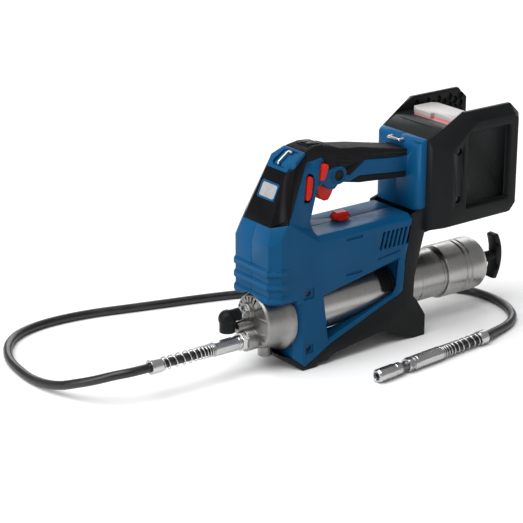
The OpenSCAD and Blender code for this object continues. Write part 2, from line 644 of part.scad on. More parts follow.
module planet_gear_2() planet_gear(1);
module planet_gear_3() planet_gear(2);
module planet_carrier() color([0.6, 0.6, 0.62]) place() {
    x_rod(crank_x0, crank_x1, crank_throw + crank_pin_r + 2, 0, drive_z);
    x_rod(crank_x1, carrier_x0, 5, 0, drive_z);
    x_rod(carrier_x0, gear_x0 - 2.5, planet_orbit + 3.5, 0, drive_z);
    for (k = [0:2]) x_rod(gear_x0 - 3, gear_x1 + 1, 2, planet_orbit * cos(120 * k),
        drive_z + planet_orbit * sin(120 * k));
    x_rod(plunger_x - 3.6, crank_x0, crank_pin_r, crank_throw, drive_z);
}
module output_bearing() color(steel) place()
    bearing(case_x0 + 2, case_x0 + 9, 13, 5 + play, drive_z);
module plunger() color(steel) place() {
    difference() {
        box(plunger_x - 3.5, plunger_x + 3.5, -yoke_hy - 3, yoke_hy + 3, drive_z - yoke_hz - 3.5,
            drive_z + yoke_hz + 3.5);
        box(plunger_x - 9, plunger_x + 9, -yoke_hy, yoke_hy, drive_z - yoke_hz, drive_z + yoke_hz);
    }
    translate([plunger_x, 0, 47]) cylinder(h = drive_z - yoke_hz - 3 - 47, r = plunger_r);
}

// ---------- pump head ----------
module pump_head() color(steel) place() difference() {
    union() {
        x_lathe([[0, 16], [28, 16], [30.5, 18], [32, 24], [bell_r, 32], [34.5, 38], [38.5, 43], [flange_r, 46],
            [38.5, leg_x], [0, leg_x]]);
        x_rod(-2, 20, 6.5, 6, 51.5);
        x_rod(4, 20, 12, 0, outlet_z);
        x_rod(12, 20, 10, valve_y, valve_z);
        translate([plunger_x + 3, 0, 13.5]) cylinder(h = 30, r = plug_r);
        translate([plunger_x, 0, 60]) cylinder(h = 36, r = 11.5);
    }
    x_rod(barrel_x0, leg_x + 1, barrel_r);
    translate([plunger_x, 0, 24]) cylinder(h = 80, r = plunger_r + play);
    x_rod(3, 24, outlet_bore_r, 0, outlet_z);
    x_rod(20, plunger_x, 2.5, 0, outlet_z);
    x_rod(11, 24, 4, valve_y, valve_z);
    translate([plunger_x, 0, 60]) rotate([0, 90, 0]) cylinder(h = 12, r = 3);
}
module check_ball() color(steel) place() translate([21.2, 0, outlet_z]) sphere(r = 3.5);
module bleeder_valve() color(steel) place() {
    x_rod(4, 24, 4, valve_y, valve_z);
    translate([5, valve_y, valve_z]) rotate([0, 90, 0]) cylinder(h = 7, r = 8, $fn = 6);
    x_rod(3, 5, 7, valve_y, valve_z);
}
module bleeder_cap() color(black) place() {
    x_rod(elbow_x, 3, 7, valve_y, valve_z);
    translate([elbow_x, valve_y, valve_z - 2]) sphere(r = elbow_r);
    translate([elbow_x, valve_y, valve_z - 17]) cylinder(h = 15, r = 8.8);
}
module outlet_nut() color(steel) place() difference() {
    union() {
        translate([-2, 0, outlet_z]) rotate([0, 90, 0]) cylinder(h = 6, r = 11, $fn = 6);
        x_rod(4, 15, outlet_bore_r, 0, outlet_z);
    }
    x_rod(-3, 16, 2, 0, outlet_z);
}

// ---------- barrel ----------
module barrel_tube() color(steel) place() x_lathe([[barrel_r, barrel_x0], [barrel_r, back_x + 8],
    [barrel_r - 0.7, back_x + 9], [barrel_r, back_x + 10], [barrel_r, back_x + 42],
    [barrel_r - 0.7, back_x + 43.5], [barrel_r, back_x + 45], [barrel_r, barrel_x1 - 20],
    [barrel_r - barrel_wall, barrel_x1 - 20], [barrel_r - barrel_wall, barrel_x0]]);
module barrel_band() color(soft_black) place() difference() {
    union() {
        x_rod(back_x - 52, back_x - 36, barrel_r + 1.6);
        for (k = [0:3]) x_rod(back_x - 51.5 + 4 * k, back_x - 49 + 4 * k, barrel_r + 3);
    }
    x_rod(back_x - 70, back_x, barrel_r);
    box(0, big, -hw, hw, 0, axis_z + 6);
}
end_r = barrel_r + 3;
module barrel_end() color(steel) place() difference() {
    x_lathe(concat([[0, barrel_x1 - 67], [end_r - 1, barrel_x1 - 67], [end_r, barrel_x1 - 65.5],
        [end_r, barrel_x1 - 39], [end_r - 0.9, barrel_x1 - 37.5], [end_r, barrel_x1 - 36],
        [end_r, barrel_x1 - 32], [end_r - 0.9, barrel_x1 - 30.5], [end_r, barrel_x1 - 29],
        [end_r, barrel_x1 - 14]],
        [for (k = [1:5]) [end_r - 14 * (1 - cos(18 * k)), barrel_x1 - 14 + 14 * sin(18 * k)]],
        [[0, barrel_x1]]));
    x_rod(barrel_x1 - 70, barrel_x1 - 20, barrel_r);
    x_rod(barrel_x1 - 21, barrel_x1 - 8, barrel_r - 6);
    x_rod(barrel_x1 - 10, barrel_x1 + 5, rod_d / 2 + play);
}
follower_x = barrel_x0 + 22;
bore_r = barrel_r - barrel_wall;
module follower() color(steel) place() difference() {
    x_lathe([[0, follower_x], [bore_r - 1.5, follower_x], [bore_r - 1.5, follower_x + 3],
        [bore_r - 4, follower_x + 3], [bore_r - 4, follower_x + 7], [bore_r - 1.5, follower_x + 7],
        [bore_r - 1.5, follower_x + 10], [0, follower_x + 10]]);
    x_rod(follower_x + 2, follower_x + 12, rod_d / 2);
}
module follower_seal() color(black) place()
    x_tube(follower_x + 3, follower_x + 7, bore_r - play, bore_r - 4);
module follower_rod() color(steel) place() x_rod(follower_x + 2, handle_back - 8, rod_d / 2);
module follower_spring() color(steel) place() translate([0, 0, axis_z])
    x_spring(follower_x + 10, barrel_x1 - 8, bore_r - 8, 1.2, 12);
handle_hw = 7;
handle_outline = concat(arc(handle_back - 56, axis_z, 56, -31, 31, 10),
    arc(handle_back - 84, axis_z, 74, 21.5, -21.5, 8));
module pull_handle() color(black) place() difference() {
    union() {
        side_slab(handle_outline, -handle_hw, handle_hw);
        x_rod(barrel_x1 + 8, handle_back - 4, handle_hw - 0.5);
    }
    x_rod(barrel_x1, handle_back - 8, rod_d / 2);
}

// ---------- lower frame, bay and bumpers ----------
frame_wall = 4.5;
// Hollow between the side plates of the rear strip, open to the housing
strip_cavity = [[back_x - 60, 63], [back_x - 19, 63], [back_x - 17.5, 76], [back_x - 9.5, 108],
    [back_x - 5.5, 123], [back_x - 4, 127], [back_x - 4, deck_z + 10], [back_x - 60, deck_z + 10]];
module lower_frame() color(black) place() difference() {
    side_slab(frame_outline, -hw, hw);
    side_slab(strip_cavity, -hw + frame_wall, hw - frame_wall);
    box(leg_x + 32, back_x - 30, -hw + 9, hw - 9, -1, 70);
    box(back_x - 20, back_x + 3, -hw + 7, hw - 7, -1, 23);
    x_rod(0, back_x + 30, barrel_r + gap);
    x_rod(0, leg_x + 1, flange_r + gap);
    translate([plunger_x + 3, 0, 0]) cylinder(h = 44, r = plug_r + gap);
    both_sides() plan_slab([[leg_x - 20, 12], [leg_x - 11, nose_flat - 12], [leg_x, nose_flat],
        [leg_x + 8, hw], [leg_x + 8, hw + 5], [leg_x - 20, hw + 5]], -1, 60);
    both_sides() plan_slab([[back_x + 3, hw + 1], [back_x + 9, hw - 5], [back_x + 9, hw + 1]], -1, 60);
}
rail_hy = 31;
module rear_bay() color(black) place() difference() {
    side_slab(bay_outline, -hw - 0.4, hw + 0.4);
    side_slab(inset([bay_outline[0], bay_outline[1], [rail_x - 12, 128], [rail_x - 12, bay_z],
        bay_outline[6], bay_outline[7]], 3), -hw + 3, hw - 3);
    box(back_x - 1, back_x + 5, -hw + 6, hw - 6, deck_z, deck_z + 75);
    box(rail_x - 8, rail_x + 1, -rail_hy, rail_hy, 132, bay_z + 1);
    for (y = [-18, 18]) box(rail_x - 13, rail_x - 7, y - 2, y + 2, 150, 175);
}
module bay_terminals() color(brass) place() for (y = [-18, -6, 6, 18])
    box(rail_x - 8, rail_x - 2, y - 0.5, y + 0.5, 148, 164);
module bumper() difference() {
    hull() {
        side_slab(wing_root, -hw - 1, -hw - 0.4);
        side_slab(wing_outline, -wing_mid, -wing_y);
        side_slab(bumper_face, -bumper_y, -bumper_y + 0.1);
    }
    box(rail_x + 0.2, big, -wing_y, 0, 0, big);
    box(back_x, big, -wing_y, 0, bay_z + 0.2, big);
    hull() {
        side_slab(recess_outline, -bumper_y - 1, -bumper_y);
        side_slab(inset(recess_outline, 2.5), -bumper_y + recess_depth - 0.1, -bumper_y + recess_depth);
    }
    for (z = bumper_screw_z) {
        y_rod(-big, -bumper_y + 6, 4, bumper_screw_x, z);
        y_rod(-big, -hw, 1.6, bumper_screw_x, z);
    }
    honeycomb();
}
hex_r = 5.2;
hex_pitch = 9.8;
module honeycomb() for (i = [-2:8], j = [0:12]) let (x = back_x + 52 + hex_pitch * 0.87 * i,
    z = 142 + hex_pitch * (j + abs(i % 2) / 2))
    if (z < bay_z + 8 + min(0, 8 * i - 2) && (x > rail_x + 6 || z > bay_z + 3))
        translate([x, -wing_y + eps, z]) rotate([90, 0, 0]) cylinder(h = 2.2, r = hex_r, $fn = 6);
module bumper_left() color(soft_black) place() bumper();
module bumper_right() color(soft_black) place() mirror([0, 1, 0]) bumper();

// ---------- battery ----------
pack_hw = 37.5;
pack_x0 = rail_x + gap;
pack_x1 = pack_x0 + pack_t;
pack_z0 = 132 + gap;
pack_z1 = pack_z0 + pack_h;
module battery_case() color([0.85, 0.8, 0.8]) place() difference() {
    union() {
        plan_slab([[pack_x0, -pack_hw], [pack_x1 - 5, -pack_hw], [pack_x1, -pack_hw + 5],
            [pack_x1, pack_hw - 5], [pack_x1 - 5, pack_hw], [pack_x0, pack_hw]], pack_z0, pack_z1);
        box(rail_x - 7.5, pack_x0 + 1, -rail_hy + gap, rail_hy - gap, pack_z0, pack_z1 - 8);
        box(rail_x - 5, pack_x0 + 1, 2, rail_hy - gap, pack_z1 - 9, pack_z1);
    }
    box(pack_x0 + 3, pack_x1 - 3, -pack_hw + 3, pack_hw - 3, pack_z0 + 3, pack_z1 - 3);
    for (y = [-18, -6, 6, 18]) box(rail_x - 9, rail_x - 1, y - 1.2, y + 1.2, 0, 166);
    box(pack_x1 - 6.5, pack_x1 + 1, -10 - gap, 10 + gap, pack_z1 - 20 - gap, pack_z1 - 10 + gap);
}
cell_r = 9.2;
module battery_cells() color([0.2, 0.45, 0.3]) place() for (k = [0:4])
    y_rod(-32.5, 32.5, cell_r, (pack_x0 + pack_x1) / 2 - 1.5, pack_z0 + 14 + 2.1 * cell_r * k);
module battery_button() color(red) place()
    box(pack_x1 - 3.5, pack_x1 + 1.5, -10, 10, pack_z1 - 20, pack_z1 - 10);

// ---------- fasteners ----------
module screw(head_r, shank_r, head_h, length) difference() {
    union() {
        cylinder(h = head_h, r = head_r);
        translate([0, 0, -length]) cylinder(h = length + eps, r = shank_r);
    }
    translate([0, 0, head_h - 1.4]) cylinder(h = 3, r = 1.5, $fn = 6);
}
module side_screw(p) translate([p[0], -hw + 7.4 + screw_in(p), p[1]]) rotate([90, 0, 0])
    screw(3.2, 1.5, 2.6, 12);
module housing_screws() color([0.3, 0.3, 0.32]) place() {
    for (p = left_screws) side_screw(p);
    mirror([0, 1, 0]) for (p = right_screws) side_screw(p);
    both_sides() for (z = bumper_screw_z) translate([bumper_screw_x, -bumper_y + 6, z])
        rotate([90, 0, 0]) screw(3.6, 1.6, 2.6, bumper_y - hw - 8);
}

// ---------- hose, guards and coupler ----------
// A collar, a guard or a ferrule, bored to clear the hose
module hose_ring(x0, x1, r) x_tube(x0, x1, r, hose_r + 0.25, 0, 0);
module at_far() translate(far_p) rotate([0, 0, far_turn]) children();
module near_ferrule() color(steel) place() translate([0, 0, outlet_z])
    x_rod(route[0][0], -2, ferrule_r, 0, 0);
module near_guard() color(steel) place() translate([0, 0, outlet_z])
    x_spring(collar_x, route[0][0], guard_r, guard_wire / 2, 13);
module near_collar() color(steel) place() translate([0, 0, outlet_z])
    hose_ring(collar_x - collar_l, collar_x, ferrule_r);
module hose() color(black) place() sweep(smooth_path(route, 2), hose_r, 12);
module far_guard() color(steel) place() at_far()
    x_spring(-far_l + collar_l - 3, 0, guard_r, guard_wire / 2, 13);
module far_fitting() color(steel) place() {
    at_far() difference() {
        x_rod(0, 43, ferrule_r, 0, 0);
        x_rod(-1, 0, hose_r, 0, 0);
    }
    at_far() hose_ring(-far_l, -far_l + collar_l - 3, ferrule_r);
    at_far() translate([43, 0, 0]) rotate([0, 90, 0]) cylinder(h = 9, r = 8.2, $fn = 6);
    at_far() x_rod(52, 62, 5.5, 0, 0);
}
module coupler() color(steel) place() at_far() difference() {
    union() {
        x_rod(62, 70, 7, 0, 0);
        x_rod(70, 97, 7.6, 0, 0);
    }
    x_rod(88, 98, 3.3, 0, 0);
    x_rod(61, 89, 1.5, 0, 0);
}

housing_left();
housing_right();
front_panel();
lamp_bezel();
lamp_lens();
lamp_board();
top_cap();
front_strap_bar();
grip_cover();
keypad();
rear_strap_bar();
trigger();
trigger_switch();
lock_off_bolt();
side_slider();
lock_button();
mode_knob();
control_board();
motor_can();
motor_stator();
motor_bearings();
motor_rotor();
cooling_fan();
gearbox_case();
ring_gear();
planet_gear_1();
planet_gear_2();
planet_gear_3();
planet_carrier();
output_bearing();
plunger();
pump_head();
check_ball();
bleeder_valve();
bleeder_cap();
outlet_nut();
barrel_tube();
barrel_band();
barrel_end();
follower();
follower_seal();
follower_rod();
follower_spring();
pull_handle();
lower_frame();
rear_bay();
bay_terminals();
bumper_left();
bumper_right();
battery_case();
battery_cells();
battery_button();
housing_screws();
near_ferrule();
near_guard();
near_collar();
hose();
far_guard();
far_fitting();
coupler();
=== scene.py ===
"""A cordless grease gun with a hose: its looks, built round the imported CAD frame.

Lengths are metres, or millimetres times MM. The gun's own X starts 2 mm past the near ferrule's
inner end, at the outlet nut.
"""
import json
from math import atan2, cos, pi, radians, sin

import bmesh
import bpy
from mathutils import Matrix, Vector
from mathutils.bvhtree import BVHTree


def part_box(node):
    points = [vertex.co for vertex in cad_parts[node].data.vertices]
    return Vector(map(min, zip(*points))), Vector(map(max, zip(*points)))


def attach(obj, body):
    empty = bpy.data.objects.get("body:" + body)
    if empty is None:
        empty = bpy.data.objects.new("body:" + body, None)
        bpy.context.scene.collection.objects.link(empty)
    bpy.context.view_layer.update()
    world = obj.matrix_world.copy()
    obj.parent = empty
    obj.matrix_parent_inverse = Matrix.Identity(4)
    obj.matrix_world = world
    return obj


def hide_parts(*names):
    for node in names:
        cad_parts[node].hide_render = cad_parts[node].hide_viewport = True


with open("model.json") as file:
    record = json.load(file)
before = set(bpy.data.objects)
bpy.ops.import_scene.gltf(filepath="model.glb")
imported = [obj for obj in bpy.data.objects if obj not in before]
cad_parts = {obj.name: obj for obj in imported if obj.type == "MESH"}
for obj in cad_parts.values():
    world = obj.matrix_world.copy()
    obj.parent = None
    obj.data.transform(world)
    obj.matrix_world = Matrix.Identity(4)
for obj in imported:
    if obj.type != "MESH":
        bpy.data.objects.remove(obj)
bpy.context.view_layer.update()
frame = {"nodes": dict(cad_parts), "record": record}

MM = 0.001
HIGH = 1
ORIGIN_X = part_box("near_ferrule")[HIGH].x + 2 * MM
UP = Vector((0, 0, 1))


def at(x, y, z):
    """A point of the gun's own frame, in metres, as a point of the row frame."""
    return Vector((ORIGIN_X + x, y, z))


# ---------- camera ----------
CAMERA_PLACE = (-1.279944, -1.507989, 0.809585)
CAMERA_RIGHT = Vector((0.80093, -0.59876, 0))
CAMERA_UP = Vector((0.20502, 0.27424, 0.93955))
CAMERA_LENS = 127.4


def make_camera():
    data = bpy.data.cameras.new("camera")
    data.lens = CAMERA_LENS
    data.clip_end = 20
    camera = bpy.data.objects.new("camera", data)
    bpy.context.scene.collection.objects.link(camera)
    back = CAMERA_RIGHT.cross(CAMERA_UP)
    turn = Matrix((CAMERA_RIGHT, CAMERA_UP, back)).transposed().to_4x4()
    camera.matrix_world = Matrix.Translation(CAMERA_PLACE) @ turn
    bpy.context.scene.camera = camera


# ---------- node materials ----------
def node_tree(name):
    material = bpy.data.materials.new(name)
    material.use_nodes = True
    tree = material.node_tree
    shader = tree.nodes["Principled BSDF"]
    place = tree.nodes.new("ShaderNodeTexCoord")
    return material, tree, shader, place.outputs["Object"]


def noise(tree, place, scale, detail=4.0, rough=0.55, stretch=(1, 1, 1)):
    """A noise field in object space; stretch packs it tighter along an axis."""
    mapping = tree.nodes.new("ShaderNodeMapping")
    mapping.inputs["Scale"].default_value = stretch
    tree.links.new(place, mapping.inputs["Vector"])
    field = tree.nodes.new("ShaderNodeTexNoise")
    field.inputs["Scale"].default_value = scale
    field.inputs["Detail"].default_value = detail
    field.inputs["Roughness"].default_value = rough
    tree.links.new(mapping.outputs["Vector"], field.inputs["Vector"])
    return field.outputs["Fac"]


def spread(tree, value, low, high, start=0.3, stop=0.7):
    """The field mapped from start..stop to low..high."""
    node = tree.nodes.new("ShaderNodeMapRange")
    node.inputs["From Min"].default_value = start
    node.inputs["From Max"].default_value = stop
    node.inputs["To Min"].default_value = low
    node.inputs["To Max"].default_value = high
    tree.links.new(value, node.inputs["Value"])
    return node.outputs["Result"]


def mix(tree, factor, a, b):
    node = tree.nodes.new("ShaderNodeMix")
    node.data_type = "RGBA"
    tree.links.new(factor, node.inputs["Factor"])
    for socket, colour in ((6, a), (7, b)):
        if isinstance(colour, tuple):
            node.inputs[socket].default_value = (*colour, 1)
        else:
            tree.links.new(colour, node.inputs[socket])
    return node.outputs[2]


def bump(tree, shader, height, strength, depth):
    node = tree.nodes.new("ShaderNodeBump")
    node.inputs["Strength"].default_value = strength
    node.inputs["Distance"].default_value = depth
    tree.links.new(height, node.inputs["Height"])
    tree.links.new(node.outputs["Normal"], shader.inputs["Normal"])


def edge_wear_and_highlight(tree, low=0.52, high=0.6):
    """1 on convex edges, 0 elsewhere: the mask for a painted edge highlight on plastics and for worn edges on
    metals.
    """
    geometry = tree.nodes.new("ShaderNodeNewGeometry")
    return spread(tree, geometry.outputs["Pointiness"], 0, 1, low, high)


def shade(colour, share):
    return tuple(min(1.0, c * share) for c in colour)


def plastic(name, colour, rough, grain, depth, edge=1.5, sheen=0.0, coat=0.0, gloss=0.3):
    """Moulded plastic: a fine spark-eroded grain, faint cloudiness and convex edges lightened as a painted
    edge highlight.
    """
    material, tree, shader, place = node_tree(name)
    cloud = noise(tree, place, 22, 3)
    body = mix(tree, spread(tree, cloud, 0, 1), shade(colour, 0.9), shade(colour, 1.1))
    # Lighter convex edges, scaled by the edge share: a painted edge highlight.
    painted_edge_highlight = mix(tree, edge_wear_and_highlight(tree), body, shade(colour, edge))
    tree.links.new(painted_edge_highlight, shader.inputs["Base Color"])
    mottle = noise(tree, place, 160, 4)
    tree.links.new(spread(tree, mottle, rough - 0.05, rough + 0.07), shader.inputs["Roughness"])
    bump(tree, shader, noise(tree, place, grain, 3, 0.6), 0.25, depth)
    shader.inputs["Specular IOR Level"].default_value = gloss
    shader.inputs["Sheen Weight"].default_value = sheen
    shader.inputs["Coat Weight"].default_value = coat
    shader.inputs["Coat Roughness"].default_value = 0.15
    return material


def metal(name, colour, rough, stretch=(1, 1, 1), scale=300, depth=0.00002, stain=0.8):
    """Turned, ground or cast metal: fine tool marks across the stretched axis and soft stains."""
    material, tree, shader, place = node_tree(name)
    shader.inputs["Metallic"].default_value = 1.0
    stains = noise(tree, place, 38, 5)
    body = mix(tree, spread(tree, stains, 0, 1, 0.35, 0.75), colour, shade(colour, stain))
    bright = mix(tree, edge_wear_and_highlight(tree), body, shade(colour, 1.25))
    tree.links.new(bright, shader.inputs["Base Color"])
    marks = noise(tree, place, scale, 4, 0.6, stretch)
    tree.links.new(spread(tree, marks, rough - 0.07, rough + 0.1), shader.inputs["Roughness"])
    bump(tree, shader, marks, 0.3, depth)
    return material


def hose_cover(name, colour):
    """Smooth rubber hose cover with a faint wrap mark and dusty patches."""
    material, tree, shader, place = node_tree(name)
    dust = noise(tree, place, 60, 6)
    body = mix(tree, spread(tree, dust, 0, 1, 0.45, 0.8), colour, shade(colour, 1.9))
    tree.links.new(body, shader.inputs["Base Color"])
    tree.links.new(spread(tree, dust, 0.26, 0.42), shader.inputs["Roughness"])
    bump(tree, shader, noise(tree, place, 900, 3), 0.2, 0.00003)
    return material


def board_green(name, colour):
    """Circuit board: solder mask with copper lines showing through."""
    material, tree, shader, place = node_tree(name)
    lines = tree.nodes.new("ShaderNodeTexBrick")
    lines.inputs["Scale"].default_value = 90
    lines.inputs["Mortar Size"].default_value = 0.03
    tree.links.new(place, lines.inputs["Vector"])
    body = mix(tree, lines.outputs["Fac"], colour, (0.1, 0.3, 0.12))
    tree.links.new(body, shader.inputs["Base Color"])
    shader.inputs["Roughness"].default_value = 0.35
    return material


def lens_clear(name, colour):
    """Clear moulded lens with fine flow marks."""
    material, tree, shader, place = node_tree(name)
    cloud = noise(tree, place, 120, 3)
    tint = mix(tree, spread(tree, cloud, 0, 1), colour, shade(colour, 0.93))
    tree.links.new(tint, shader.inputs["Base Color"])
    tree.links.new(spread(tree, cloud, 0.05, 0.14), shader.inputs["Roughness"])
    shader.inputs["Transmission Weight"].default_value = 0.3
    shader.inputs["IOR"].default_value = 1.45
    return material


def striped_pack(name, colour, stripe, pitch, share):
    """Pale pack plastic with soft level stripes of a warmer tone."""
    material, tree, shader, place = node_tree(name)
    split = tree.nodes.new("ShaderNodeSeparateXYZ")
    tree.links.new(place, split.inputs["Vector"])
    wave = tree.nodes.new("ShaderNodeMath")
    wave.operation = "PINGPONG"
    wave.inputs[1].default_value = pitch / 2
    tree.links.new(split.outputs["Z"], wave.inputs[0])
    band = spread(tree, wave.outputs["Value"], 0, 1, pitch * share / 2, pitch * share / 2 + 0.0004)
    cloud = noise(tree, place, 30, 3)
    pale = mix(tree, spread(tree, cloud, 0, 1), colour, shade(colour, 0.93))
    tree.links.new(mix(tree, band, stripe, pale), shader.inputs["Base Color"])
    tree.links.new(spread(tree, noise(tree, place, 200), 0.38, 0.5), shader.inputs["Roughness"])
    bump(tree, shader, noise(tree, place, 1500, 3), 0.2, 0.00003)
    return material


ALONG_X = (6, 0.15, 0.15)
BLUE = (0.003, 0.066, 0.165)
# In each plastic, the share after the grain depth lightens convex edges as a painted edge highlight.
MATERIALS = {
    "blue_shell": plastic("blue_shell", BLUE, 0.4, 1500, 0.00004, 1.3, gloss=0.1),
    "black_shell": plastic("black_shell", (0.007, 0.008, 0.0085), 0.42, 1300, 0.00006, 2.2, gloss=0.12),
    "gloss_panel": plastic("gloss_panel", (0.005, 0.005, 0.006), 0.3, 500, 0.00001, 1.5, gloss=0.07),
    "soft_grip": plastic("soft_grip", (0.008, 0.008, 0.009), 0.6, 2200, 0.00008, 1.5, sheen=0.02,
                         gloss=0.08),
    "red_plastic": plastic("red_plastic", (0.56, 0.018, 0.009), 0.36, 1500, 0.00003, 1.15, gloss=0.15),
    "cast_head": metal("cast_head", (0.3, 0.295, 0.285), 0.36, scale=700, depth=0.00006, stain=0.7),
    "steel_tube": metal("steel_tube", (0.38, 0.375, 0.365), 0.32, ALONG_X, 260, 0.00001, 0.85),
    "bright_steel": metal("bright_steel", (0.55, 0.55, 0.55), 0.26, scale=900, depth=0.00001),
    "spring_wire": metal("spring_wire", (0.5, 0.5, 0.51), 0.28, scale=1200, depth=0.00001),
    "dark_steel": metal("dark_steel", (0.16, 0.16, 0.17), 0.4, scale=900, depth=0.00002),
    "copper": metal("copper", (0.72, 0.33, 0.14), 0.35, (1, 8, 8), 300, 0.0001),
    "brass": metal("brass", (0.78, 0.58, 0.26), 0.3, scale=700),
    "board": board_green("board", (0.01, 0.1, 0.03)),
    "hose_rubber": hose_cover("hose_rubber", (0.009, 0.009, 0.01)),
    "clear_lens": lens_clear("clear_lens", (0.5, 0.51, 0.52)),
    "pack_plastic": striped_pack("pack_plastic", (0.5, 0.47, 0.47), (0.6, 0.27, 0.26), 0.011, 0.45),
    "cell_wrap": plastic("cell_wrap", (0.05, 0.25, 0.13), 0.3, 900, 0.00001, 1.2, coat=0.4),
}
NODE_SLOT = {row["node"]: row["material_slot"] for row in frame["record"]["subparts"]}
NODE_BODY = {n: body for body, names in frame["record"]["behaviour"]["bodies"].items() for n in names}


# ---------- mesh helpers ----------
def link(data, name):
    piece = bpy.data.objects.new(name, data)
    bpy.context.scene.collection.objects.link(piece)
    return piece


def dress(piece, body, slot, *nodes):
    """The piece rides on a body, takes a slot's finish and stands for CAD nodes, if any are named."""
    piece.data.materials.clear()
    piece.data.materials.append(MATERIALS[slot])
    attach(piece, body)
    if nodes:
        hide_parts(*nodes)
    return piece


def smooth(mesh, angle=32):
    for face in mesh.polygons:
        face.use_smooth = True
    mesh.set_sharp_from_angle(angle=radians(angle))


def solid(bm, name, angle=32):
    """A finished object from a bmesh, with outward faces and smooth shading below the angle."""
    bmesh.ops.recalc_face_normals(bm, faces=bm.faces)
    mesh = bpy.data.meshes.new(name)
    bm.to_mesh(mesh)
    bm.free()
    smooth(mesh, angle)
    return link(mesh, name)


SHARP = radians(28)
# Shares of a round's full width: by a face's size, by an edge's length, for fine detail and at least
FACE_SHARE, EDGE_SHARE, FINE_SHARE, LEAST_SHARE = 1.4, 0.8, 0.2, 0.08


def is_corner(vert, sharp):
    """True where sharp edges meet in any way but a nearly straight run of two."""
    edges = [e for e in vert.link_edges if e in sharp]
    if len(edges) != 2:
        return True
    a, b = (e.other_vert(vert).co - vert.co for e in edges)
    return a.length > 0 and b.length > 0 and a.angle(b) < pi - radians(30)


def bevel_share(edge, sharp, width):
    """The part of the full width that an edge has room for."""
    share = 1.0
    for face in edge.link_faces:
        rim = sum(e.calc_length() for e in face.edges)
        share = min(share, FACE_SHARE * face.calc_area() / max(rim, 1e-9) / width)
    corners = sum(is_corner(v, sharp) for v in edge.verts)
    if corners:
        share = min(share, EDGE_SHARE / corners * edge.calc_length() / width)
    return max(LEAST_SHARE, share)


def round_edges(piece, width, segments=2, fine=None):
    """Rounds sharp edges; narrow faces get a narrower round, and fine(point) marks small detail."""
    bm = bmesh.new()
    bm.from_mesh(piece.data)
    bmesh.ops.remove_doubles(bm, verts=bm.verts, dist=0.01 * MM)
    bmesh.ops.dissolve_limit(bm, angle_limit=radians(1), verts=bm.verts, edges=bm.edges)
    weights = bm.edges.layers.float.new("bevel_weight_edge")
    sharp = {e for e in bm.edges if len(e.link_faces) == 2 and e.calc_face_angle(0) > SHARP}
    for edge in sharp:
        share = bevel_share(edge, sharp, width)
        if fine and fine((edge.verts[0].co + edge.verts[1].co) / 2):
            share = min(share, FINE_SHARE)
        edge[weights] = share
    bmesh.ops.triangulate(bm, faces=[f for f in bm.faces if len(f.verts) > 4])
    for face in bm.faces:
        face.smooth = True
    bm.to_mesh(piece.data)
    bm.free()
    bevel = piece.modifiers.new("round", "BEVEL")
    bevel.width = width
    bevel.segments = segments
    bevel.limit_method = "WEIGHT"
    bevel.use_clamp_overlap = False
    bevel.harden_normals = True
    graph = bpy.context.evaluated_depsgraph_get()
    mesh = bpy.data.meshes.new_from_object(piece.evaluated_get(graph))
    piece.modifiers.clear()
    piece.data = mesh
    return piece


def surface_tree(mesh):
    return BVHTree.FromPolygons([v.co for v in mesh.vertices], [tuple(p.vertices) for p in mesh.polygons])


def keep_inside(mesh, base):
    """Sets back the few corners that a round has pushed out of the piece."""
    tree = surface_tree(base)
    for vert in mesh.vertices:
        place, normal, _, gap = tree.find_nearest(vert.co)
        if gap > 0.1 * MM and (vert.co - place).dot(normal) > 0:
            vert.co = place


def rounded(node, width, segments=2, fine=None):
    """A CAD piece with its edges rounded as the mould or the tool leaves them."""
    base = frame["nodes"][node].data
    piece = link(base.copy(), node + "_finished")
    round_edges(piece, width, segments, fine)
    keep_inside(piece.data, base)
    return dress(piece, NODE_BODY[node], NODE_SLOT[node], node)


def round_corners(points, radius, closed=False, steps=3):
    """An outline of 2-D points with each corner cut by a small arc."""
    n = len(points)
    out = []
    for i, p in enumerate(points):
        p = Vector(p)
        if not closed and i in (0, n - 1):
            out.append(p)
            continue
        a, b = Vector(points[i - 1]) - p, Vector(points[(i + 1) % n]) - p
        cut = min(radius, 0.45 * a.length, 0.45 * b.length)
        start, end = p + a.normalized() * cut, p + b.normalized() * cut
        for k in range(steps + 1):
            t = k / steps
            out.append(start * (1 - t) ** 2 + p * 2 * t * (1 - t) + end * t ** 2)
    return out


def lathe(name, profile, place, sides=56, closed=False, shape=None):
    """A profile of (x, r) turned about the X axis of place; shape(x, angle) scales the radius."""
    bm = bmesh.new()
    rings = []
    for x, r in profile:
        ring = []
        for k in range(sides):
            angle = 2 * pi * k / sides
            reach = r * (shape(x, angle) if shape else 1)
            ring.append(bm.verts.new(place @ Vector((x, reach * cos(angle), reach * sin(angle)))))
        rings.append(ring)
    pairs = list(zip(rings, rings[1:]))
    if closed:
        pairs.append((rings[-1], rings[0]))
    else:
        bm.faces.new(rings[0])
        bm.faces.new(rings[-1])
    for a, b in pairs:
        for k in range(sides):
            bm.faces.new((a[k], a[(k + 1) % sides], b[(k + 1) % sides], b[k]))
    return solid(bm, name)


def tube_rings(bm, path, radius, sides):
    """Sweeps a round section along the path without twist; radius may be a function of 0..1."""
    count = len(path)
    rings = []
    side = None
    for i, p in enumerate(path):
        d = (path[min(i + 1, count - 1)] - path[max(i - 1, 0)]).normalized()
        if side is None:
            side = UP.cross(d)
            if side.length < 0.1:
                side = Vector((1, 0, 0)).cross(d)
        side = (side - d * side.dot(d)).normalized()
        other = d.cross(side)
        reach = radius(i / (count - 1)) if callable(radius) else radius
        rings.append([bm.verts.new(p + reach * (side * cos(2 * pi * k / sides)
                                                + other * sin(2 * pi * k / sides)))
                      for k in range(sides)])
    for a, b in zip(rings, rings[1:]):
        for k in range(sides):
            bm.faces.new((a[k], a[(k + 1) % sides], b[(k + 1) % sides], b[k]))
    bm.faces.new(rings[0])
    bm.faces.new(rings[-1])


def tube(name, path, radius, sides=10):
    bm = bmesh.new()
    tube_rings(bm, path, radius, sides)
    return solid(bm, name, 50)


